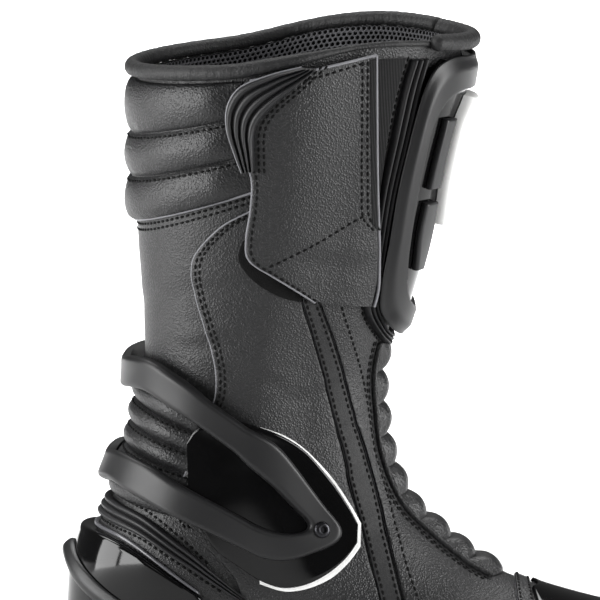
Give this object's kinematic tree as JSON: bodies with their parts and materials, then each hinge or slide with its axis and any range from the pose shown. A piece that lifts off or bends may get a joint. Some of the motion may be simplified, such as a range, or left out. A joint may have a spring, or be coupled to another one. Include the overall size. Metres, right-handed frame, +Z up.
{
  "type": "motorcycle boot",
  "caption": "Tall black road motorcycle boot with hollow leather upper, padded collar, shin guard, hinge-shaped ankle brace, heel counter and lugged sole.",
  "frame": {"origin": "on the floor under the middle of the heel lug that carries the heel", "axes": "+X from heel to toe, +Y towards the boot's inner side, +Z up the shaft"},
  "size_m": [0.2988, 0.1301, 0.3252],
  "materials": {
    "upper_leather": "black pebbled cow leather, lightly coated",
    "strap_leather": "matt black microfibre leather",
    "padded_leather": "black pebbled leather over foam, quilted",
    "elastic_fabric": "finely ribbed black elastic webbing",
    "hook_tape": "black hook tape",
    "soft_rubber": "matt moulded rubber",
    "tread_rubber": "moulded tread rubber",
    "insole_board": "black textile covered foam board",
    "satin_polymer": "satin moulded thermoplastic",
    "gloss_polymer": "polished moulded thermoplastic",
    "white_polymer": "white moulded thermoplastic, plain",
    "screw_steel": "blackened steel"
  },
  "bodies": {
    "root": {"outsole": "tread_rubber", "insole": "insole_board", "upper": "upper_leather", "collar_binding": "padded_leather", "collar_front_roll": "padded_leather", "calf_rolls": "padded_leather", "achilles_rolls": "padded_leather", "front_flex_panel": "padded_leather", "instep_piping_lateral": "upper_leather", "instep_piping_medial": "upper_leather", "lateral_panel": "upper_leather", "instep_strap_rear": "strap_leather", "instep_strap_front": "upper_leather", "stretch_gore": "elastic_fabric", "hook_patch": "hook_tape", "closing_flap": "upper_leather", "flap_pull_tab": "soft_rubber", "shin_gasket": "soft_rubber", "shin_plate": "gloss_polymer", "shin_frame": "satin_polymer", "shin_insert": "white_polymer", "shin_pad_upper_lateral": "satin_polymer", "shin_pad_lower_lateral": "satin_polymer", "shin_pad_upper_medial": "satin_polymer", "shin_pad_lower_medial": "satin_polymer", "ankle_brace": "satin_polymer", "brace_base_lateral": "gloss_polymer", "brace_base_medial": "gloss_polymer", "brace_edge_lateral": "white_polymer", "brace_edge_medial": "white_polymer", "brace_screw_lateral": "screw_steel", "brace_screw_medial": "screw_steel", "heel_counter": "gloss_polymer", "heel_spur": "satin_polymer", "heel_trim": "gloss_polymer", "heel_piping": "soft_rubber", "toe_cap": "gloss_polymer", "vamp_band": "upper_leather"}
  },
  "joints": []
}
